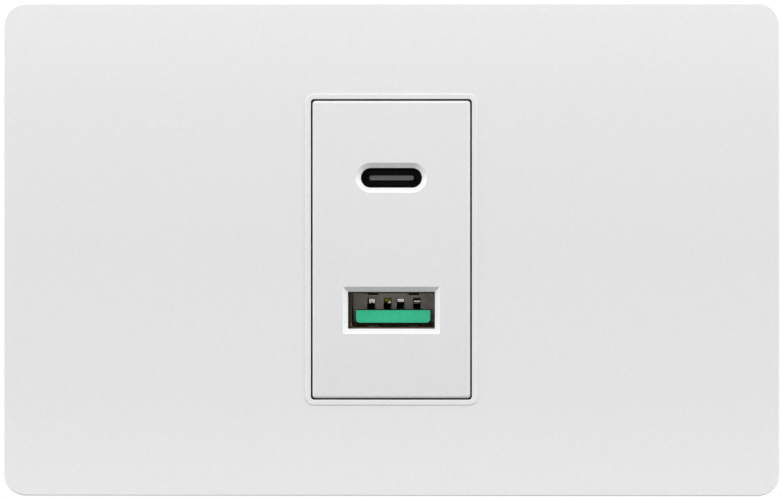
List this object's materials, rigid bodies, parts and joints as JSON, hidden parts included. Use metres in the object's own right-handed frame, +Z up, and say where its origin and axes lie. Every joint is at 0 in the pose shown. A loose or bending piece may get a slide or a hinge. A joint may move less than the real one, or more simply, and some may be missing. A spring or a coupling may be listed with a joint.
{
  "type": "power socket",
  "caption": "Rectangular wall plate with a central charger module that has an oval port above a flat rectangular one.",
  "frame": {"origin": "centre of the box screw pattern, in the plane of the wall", "axes": "+X to the right, +Z up, the front faces -Y and the wall box is on +Y"},
  "size_m": [0.118, 0.0392, 0.075],
  "materials": {
    "plate_plastic": "fine matt",
    "module_plastic": "fine matt",
    "frame_plastic": "moulded",
    "housing_plastic": "moulded",
    "black_plastic": "moulded",
    "grey_plastic": "moulded",
    "green_plastic": "satin",
    "port_steel": "nickel plated",
    "dark_steel": "black nickel plated",
    "contact_metal": "gold flash",
    "spring_metal": "nickel plated",
    "terminal_brass": "bright",
    "screw_steel": "zinc plated",
    "board_laminate": "solder mask",
    "chip_plastic": "moulded",
    "ferrite": "sintered",
    "copper_wire": "enamelled",
    "winding_tape": "polyester tape",
    "can_sleeve": "shrink sleeve",
    "can_aluminium": "drawn",
    "film_box": "moulded",
    "disc_coating": "epoxy dip",
    "fuse_ceramic": "glazed",
    "pin_metal": "tin plated"
  },
  "bodies": {
    "socket": {"cover_plate": "plate_plastic", "support_frame": "frame_plastic", "module_front": "module_plastic", "module_rear": "housing_plastic", "usb_c_shell": "dark_steel", "usb_c_insulator": "black_plastic", "usb_c_tongue": "grey_plastic", "usb_c_contacts_upper": "contact_metal", "usb_c_contacts_lower": "contact_metal", "usb_a_shell": "port_steel", "usb_a_tongue": "green_plastic", "usb_a_contact_1": "spring_metal", "usb_a_contact_2": "spring_metal", "usb_a_contact_3": "spring_metal", "usb_a_contact_4": "spring_metal", "io_board": "board_laminate", "power_board": "board_laminate", "port_controller": "chip_plastic", "sync_rectifier": "chip_plastic", "primary_controller": "chip_plastic", "optocoupler": "chip_plastic", "bridge_rectifier": "chip_plastic", "bulk_capacitor_left": "can_sleeve", "bulk_capacitor_right": "can_sleeve", "output_capacitor_left": "can_aluminium", "output_capacitor_right": "can_aluminium", "suppression_capacitor": "film_box", "safety_capacitor": "disc_coating", "line_fuse": "fuse_ceramic", "line_choke_core": "ferrite", "line_choke_winding": "copper_wire", "transformer_core_front": "ferrite", "transformer_core_rear": "ferrite", "transformer_bobbin": "black_plastic", "transformer_winding": "winding_tape", "header_housing": "black_plastic", "header_pins": "pin_metal", "terminal_cage_line": "terminal_brass", "terminal_cage_neutral": "terminal_brass"},
    "clamp_line": {"clamp_plate_line": "terminal_brass"},
    "screw_line": {"terminal_screw_line": "screw_steel"},
    "clamp_neutral": {"clamp_plate_neutral": "terminal_brass"},
    "screw_neutral": {"terminal_screw_neutral": "screw_steel"}
  },
  "joints": [
    {"name": "clamp_line_rise", "type": "slide", "parent": "socket", "child": "clamp_line", "axis": [0, 0, 1], "range_m": [0, 0.003]},
    {"name": "screw_line_turn", "type": "hinge", "parent": "clamp_line", "child": "screw_line", "pos_m": [-0.0046, 0.0255, -0.0175], "axis": [0, 0, 1], "range_deg": [0, 2160]},
    {"name": "clamp_neutral_rise", "type": "slide", "parent": "socket", "child": "clamp_neutral", "axis": [0, 0, 1], "range_m": [0, 0.003]},
    {"name": "screw_neutral_turn", "type": "hinge", "parent": "clamp_neutral", "child": "screw_neutral", "pos_m": [0.0046, 0.0255, -0.0175], "axis": [0, 0, 1], "range_deg": [0, 2160]}
  ],
  "couplings": [
    {"joint": "screw_line_turn", "follows": "clamp_line_rise", "rad_per_m": 12566},
    {"joint": "screw_neutral_turn", "follows": "clamp_neutral_rise", "rad_per_m": 12566}
  ]
}
